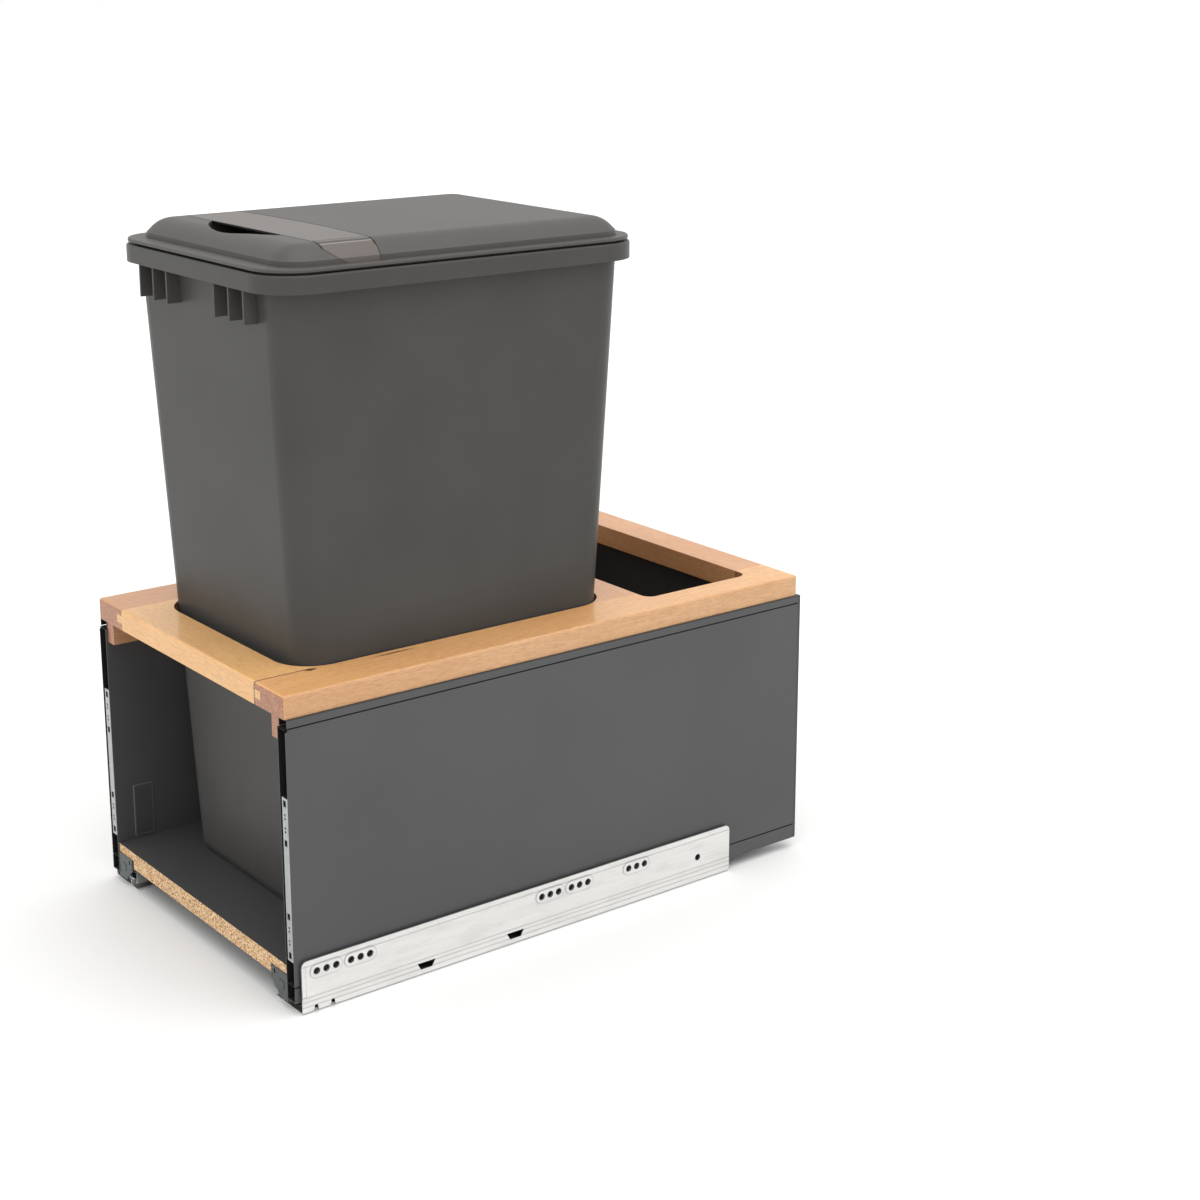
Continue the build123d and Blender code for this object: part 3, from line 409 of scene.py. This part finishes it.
def zinc(name, colour, along=Y, streak=0.25, web=False):
    """rolling marks along the sheet and faint smudges, and on the web the pressed lines as bumps
    with painted shade and painted shade round the pads
    """
    look = Look(name, Metallic=1.0)
    marks = look.noise(look.place(STRETCH[along]), 6.0, detail=5.0, roughness=0.65)
    smudge = look.noise(look.place(SMUDGE), 5.0, detail=5.0, roughness=0.65)
    light, dark = tint(colour, 1.06), tint(colour, 0.78)
    tone = look.mix(look.ramp(marks, 0.35, 0.7, 0.0, streak * 2), light, dark)
    tone = look.mix(look.ramp(smudge, 0.48, 0.74, 0.0, 0.45), tone, dark)
    relief = look.product(marks, 0.1)
    if web:
        height = look.position(Z)
        for level in ROLLED_LINES:
            groove = look.ramp(look.distance(height, level), 0.0, ROLLED_REACH, 1.0, 0.0)
            # painted shade along each rolled step
            tone = look.mix(look.product(groove, 0.6), tone, tint(colour, 0.45))
            relief = look.math("SUBTRACT", relief, groove)
        # painted shade round each capsule
        tone = look.mix(look.product(pad_outline_shade(look), 0.35), tone, tint(colour, 0.4))
    look.link(tone, "Base Color")
    look.link(look.ramp(smudge, 0.3, 0.7, 0.36, 0.52), "Roughness")
    look.bump(relief, 0.0002, 0.5)
    return look


# ------------------------------------------------------------------ faced chipboard
CHIP_STRETCH = (1.0, 1.0, 1.9)  # chips lie flat in the board
DUST_STRETCH = (1.0, 1.0, 1.6)
MELAMINE = srgb(67, 67, 68), srgb(75, 75, 75)
CHIPS = srgb(234, 202, 160), srgb(200, 156, 110)
DARK_CHIP = srgb(108, 68, 42)
PALE_CHIP = srgb(250, 230, 194)


def faced_board(name, raw_axis):
    """grey melamine faces over raw chipboard, which shows where a face looks along raw_axis"""
    look = Look(name, Specular_IOR_Level=0.35)
    grain = look.noise(look.coordinates(), 900.0, detail=2.0)
    face = look.mix(grain, *MELAMINE)
    cells = {"Vector": look.place(CHIP_STRETCH), "Scale": 360.0}
    chips = look.node("TexVoronoi", cells, feature="F1").outputs["Color"]
    shade = look.node("SeparateColor", {0: chips}).outputs[0]
    dust = look.noise(look.place(DUST_STRETCH), 400.0, detail=3.0, roughness=0.8)
    raw = look.mix(shade, *CHIPS)
    raw = look.mix(look.ramp(dust, 0.54, 0.58, 0.0, 0.95), raw, DARK_CHIP)
    raw = look.mix(look.ramp(dust, 0.36, 0.43, 0.8, 0.0), raw, PALE_CHIP)
    cut = look.facing(raw_axis)
    look.link(look.mix(cut, face, raw), "Base Color")
    look.link(look.ramp(cut, 0.0, 1.0, 0.42, 0.9), "Roughness")
    relief = look.math("ADD", look.product(grain, 0.1), look.product(dust, cut))
    look.bump(relief, 0.00025, 0.6)
    return look


# ------------------------------------------------------------------ dressing the pieces
def dress(names, look):
    """give CAD nodes a material in every slot"""
    for name in names:
        mesh = nodes[name].data
        if not mesh.materials:
            mesh.materials.append(look.material)
        for index in range(len(mesh.materials)):
            mesh.materials[index] = look.material


def both(*names):
    """the names of left and right pairs"""
    return [name + side for name in names for side in PAIR]


steel = powder_coat("steel_coat", srgb(71, 71, 72))
dress(both("side_outer_skin", "side_inner_skin", "side_top_cap", "side_bottom_rail"), steel)
cap_grey = srgb(66, 66, 66)
dress(both("side_end_cap"), moulded("end_cap_coat", cap_grey, 0.42))
dress(both("access_cover"), moulded("cover_coat", cap_grey, 0.42, lines=cover_rim_highlight))

web_zinc = zinc("runner_web_zinc", srgb(227, 226, 224), streak=0.16, web=True)
dress(both("cabinet_profile"), web_zinc)
member_zinc = zinc("runner_member_zinc", srgb(190, 192, 194))
dress(both("middle_profile", "drawer_profile"), member_zinc)
strip_zinc = zinc("strip_zinc", srgb(180, 184, 184), along=Z)
dress(both("front_fixing_strip", "rear_bracket"), strip_zinc)
bracket_zinc = zinc("bracket_zinc", srgb(104, 109, 110), along=Z, streak=0.5)
dress(both("front_bracket"), bracket_zinc)
screw_zinc = zinc("screw_zinc", srgb(200, 202, 204), along=X)
dress(["back_panel_screws", "cleat_screws"], screw_zinc)
bearing = zinc("roller_steel", srgb(205, 207, 210), along=X, streak=0.1)
dress(both("lower_rollers", "upper_rollers"), bearing)

dress(["bottom_board"], faced_board("board_faces", Y))
dress(["back_panel"], faced_board("panel_faces", X))

black = moulded("black_nylon", srgb(26, 26, 27), 0.45)
dress(both("soft_close_damper", "front_coupling", "lower_cage", "upper_cage"), black)
bin_plastic = moulded("bin_plastic", srgb(70, 69, 67), 0.38, gloss=0.14)
dress(["bin"], bin_plastic)
lid_plastic = moulded("lid_plastic", srgb(70, 68, 65), 0.5, gloss=0.45, lines=band_seam_shade)
dress(["lid_shell"], lid_plastic)
handle_grey = srgb(93, 86, 82)
handle_plastic = moulded(
    "handle_plastic", handle_grey, 0.42, gloss=0.4, depth=0.00002, lines=band_crease
)
dress(["lid_handle"], handle_plastic)

HONEY = srgb(231, 181, 121), srgb(217, 163, 100)
BLUSH = srgb(212, 158, 110), srgb(192, 132, 84)
AMBER = srgb(226, 173, 117), srgb(209, 151, 93)
# each piece of wood: axis of its grain, where it is cut from the figure, its two colours
woods = {
    "frame_rail_left": (Y, (0.3, 1.7, 0.2), *BLUSH),
    "frame_rail_right": (Y, (1.3, 0.4, 2.2), *AMBER),
    "front_board": (X, (2.1, 3.3, 0.7), *HONEY),
    "middle_board": (X, (0.9, 5.1, 1.9), *BLUSH),
    "rear_board": (X, (3.7, 0.8, 4.4), *BLUSH),
    "hanging_cleat_left": (Y, (4.4, 2.6, 0.5), *BLUSH),
    "hanging_cleat_right": (Y, (5.2, 1.1, 3.1), *AMBER),
}
for name, (grain, shift, pale, deep) in woods.items():
    dress([name], maple("maple_" + name, grain, shift, pale, deep))


# ------------------------------------------------------------------ stage, light, camera
FLOOR_REACH = 30.0
FLOOR_GREYS = srgb(231, 231, 230), srgb(235, 235, 234)
FLOOR_DROP = 0.0002  # the floor lies this far below the unit, so that no two faces coincide
WORLD_STRENGTH = 1.0
SUN_STRENGTH = 1.7
SUN_ANGLE = math.radians(70)
SUN_FROM = Vector((0.3, 0.02, 1.0))
IMAGE = 1200  # side of the photograph in pixels
FOCAL_PX = 2126.6
CENTRE_ROW_PX = 480.0  # image row of the point that the camera looks at
SENSOR = 36.0  # millimetres
CAMERA_AT = Vector((1.5446, -1.0325, 0.8309))
CAMERA_AZIMUTH = math.radians(52.218)
CAMERA_ELEVATION = math.radians(13.987)

floor_mesh = bpy.data.meshes.new("floor")
signs = ((-1, -1), (1, -1), (1, 1), (-1, 1))
corners = [(FLOOR_REACH * x, FLOOR_REACH * y, 0) for x, y in signs]
floor_mesh.from_pydata(corners, [], [(0, 1, 2, 3)])
floor = bpy.data.objects.new("floor", floor_mesh)
floor.location.z = -FLOOR_DROP
bpy.context.scene.collection.objects.link(floor)
floor_look = Look("floor_paint", Roughness=0.9, Specular_IOR_Level=0.1)
floor_tone = floor_look.noise(floor_look.coordinates(), 4.0)
floor_look.link(floor_look.mix(floor_tone, *FLOOR_GREYS), "Base Color")
floor_mesh.materials.append(floor_look.material)

world = bpy.data.worlds.new("studio")
bpy.context.scene.world = world
world.use_nodes = True
background = world.node_tree.nodes["Background"]
background.inputs["Color"].default_value = WHITE
background.inputs["Strength"].default_value = WORLD_STRENGTH

sun = bpy.data.objects.new("overhead", bpy.data.lights.new("overhead", "SUN"))
sun.data.energy = SUN_STRENGTH
sun.data.angle = SUN_ANGLE
sun.rotation_euler = SUN_FROM.to_track_quat("Z", "Y").to_euler()
bpy.context.scene.collection.objects.link(sun)

camera = bpy.data.objects.new("camera", bpy.data.cameras.new("camera"))
bpy.context.scene.collection.objects.link(camera)
bpy.context.scene.camera = camera
camera.location = CAMERA_AT
# from the object back to the camera
look_back = Vector(
    (
        math.sin(CAMERA_AZIMUTH) * math.cos(CAMERA_ELEVATION),
        -math.cos(CAMERA_AZIMUTH) * math.cos(CAMERA_ELEVATION),
        math.sin(CAMERA_ELEVATION),
    )
)
camera.rotation_euler = (-look_back).to_track_quat("-Z", "Y").to_euler()
camera.data.sensor_width = SENSOR
camera.data.lens = FOCAL_PX / IMAGE * SENSOR
camera.data.shift_y = (CENTRE_ROW_PX - IMAGE / 2) / IMAGE
bpy.context.scene.view_settings.view_transform = "Standard"
